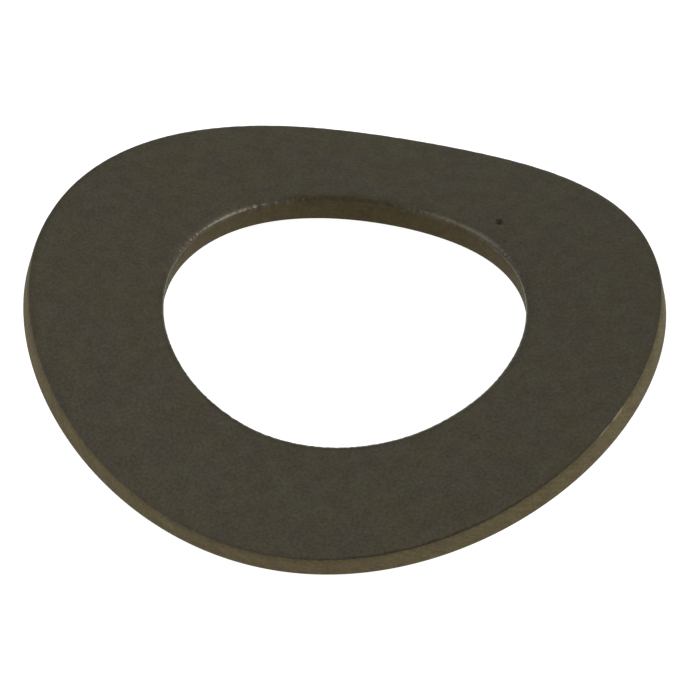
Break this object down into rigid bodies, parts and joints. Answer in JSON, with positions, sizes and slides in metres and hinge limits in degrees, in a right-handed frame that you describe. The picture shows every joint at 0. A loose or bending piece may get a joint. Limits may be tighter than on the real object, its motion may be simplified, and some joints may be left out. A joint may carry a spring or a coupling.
{
  "type": "spring lock washer",
  "caption": "Saddle-shaped spring lock washer: an unsplit steel ring with two crests and two valleys that pushes back under a bolt head.",
  "frame": {"origin": "on the bore's axis, at the height of the two valleys that the washer rests on", "axes": "+Z along the bore's axis, up; the two crests lie on +X and -X, the two valleys on +Y and -Y"},
  "size_m": [0.015, 0.015, 0.0023],
  "materials": {
    "spring_steel": "matte black-brown phosphate and oil over hardened spring steel, worn to lighter metal on the punched edges"
  },
  "bodies": {
    "root": {"spring_washer": "spring_steel"}
  },
  "joints": []
}
